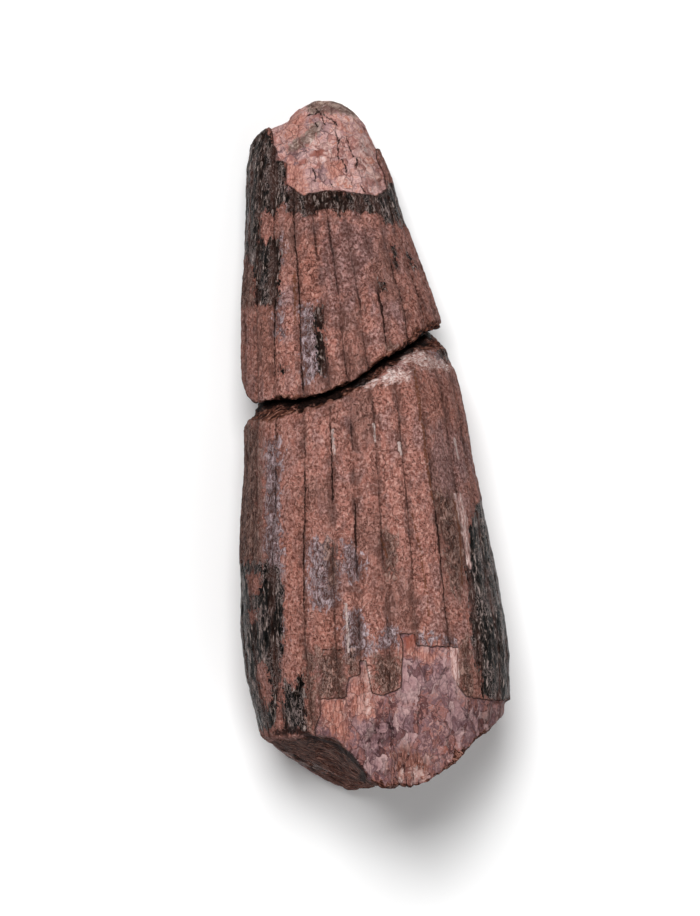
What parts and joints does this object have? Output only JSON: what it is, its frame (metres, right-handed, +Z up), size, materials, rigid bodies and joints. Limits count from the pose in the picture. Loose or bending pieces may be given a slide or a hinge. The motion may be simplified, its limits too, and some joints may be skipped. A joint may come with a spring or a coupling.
{
  "type": "fossil tooth",
  "caption": "Fossil tooth crown of a large fish-eating dinosaur, fluted lengthwise, broken across and set back together, lying on its side.",
  "frame": {"origin": "on the surface that the crown lies on, under the middle of its bounding box", "axes": "+Y from the broken base to the worn tip, +X across the crown towards its bulging edge, +Z up"},
  "size_m": [0.0272, 0.0696, 0.0225],
  "materials": {
    "tip_enamel": "terracotta red enamel with black patches and cracked pink dentine at the worn tip, dull with a faint polish",
    "base_enamel": "terracotta red enamel with black and grey patches and mauve dentine at the broken base, dull with a faint polish"
  },
  "bodies": {
    "root": {"crown_tip": "tip_enamel", "crown_base": "base_enamel"}
  },
  "joints": []
}
